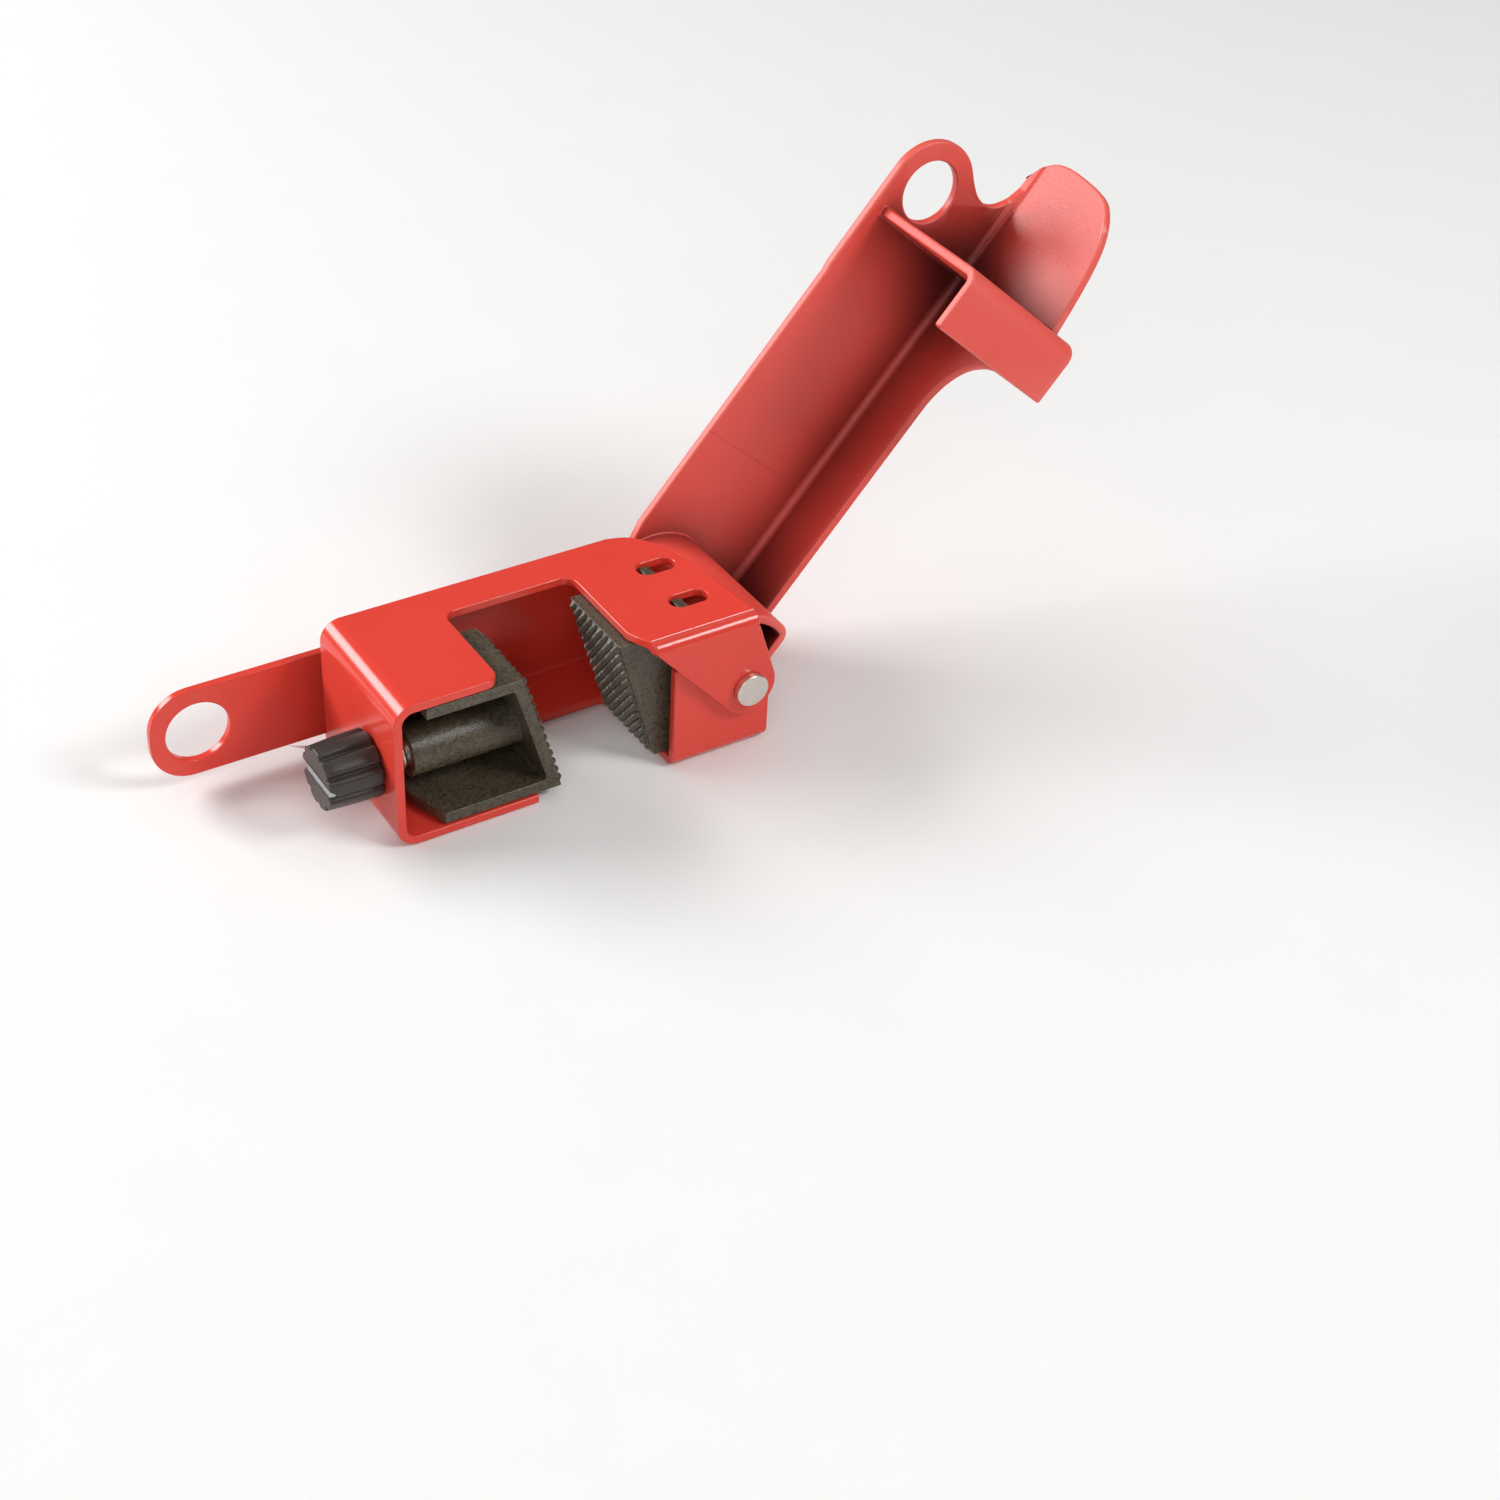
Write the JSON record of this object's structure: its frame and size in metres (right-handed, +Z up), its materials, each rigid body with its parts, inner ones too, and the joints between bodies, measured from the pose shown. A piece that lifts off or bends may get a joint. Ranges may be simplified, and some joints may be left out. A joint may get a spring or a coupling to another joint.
{
  "type": "lockout hasp",
  "caption": "Breaker lockout hasp: bent red steel channel with two toothed jaws closed by a thumbscrew, and a hinged red cover that swings over the screw and takes a padlock.",
  "frame": {"origin": "centre of the padlock hole on the back face of the steel strip", "axes": "+X along the strip towards the hinge pin, +Y out of the strip's back, along the padlock hole and the hinge pin, +Z up"},
  "size_m": [0.1959, 0.0447, 0.0994],
  "materials": {
    "red_powder_coat": "gloss powder coat",
    "red_polymer": "fine mould grain",
    "dark_polymer": "glass-filled, mottled",
    "black_polymer": "satin",
    "plated_steel": "zinc plated, satin"
  },
  "bodies": {
    "frame": {"steel_body": "red_powder_coat", "hinge_rivet": "plated_steel", "fixed_jaw": "dark_polymer"},
    "cover": {"cover": "red_polymer"},
    "screw": {"thumb_knob": "black_polymer", "thumb_screw": "plated_steel", "retaining_ring": "plated_steel"},
    "slider": {"sliding_jaw": "dark_polymer"}
  },
  "joints": [
    {"name": "cover_hinge", "type": "hinge", "parent": "frame", "child": "cover", "pos_m": [0.0955, 0, 0.0031], "axis": [0, 1, 0], "range_deg": [-131.5, 0]},
    {"name": "thumb_screw_turn", "type": "hinge", "parent": "frame", "child": "screw", "pos_m": [0.0236, -0.0268, 0.0013], "axis": [1, 0, 0], "range_deg": [0, 3680]},
    {"name": "jaw_slide", "type": "slide", "parent": "frame", "child": "slider", "axis": [1, 0, 0], "range_m": [0, 0.01298]}
  ],
  "couplings": [
    {"joint": "thumb_screw_turn", "follows": "jaw_slide", "rad_per_m": 4947.4}
  ]
}
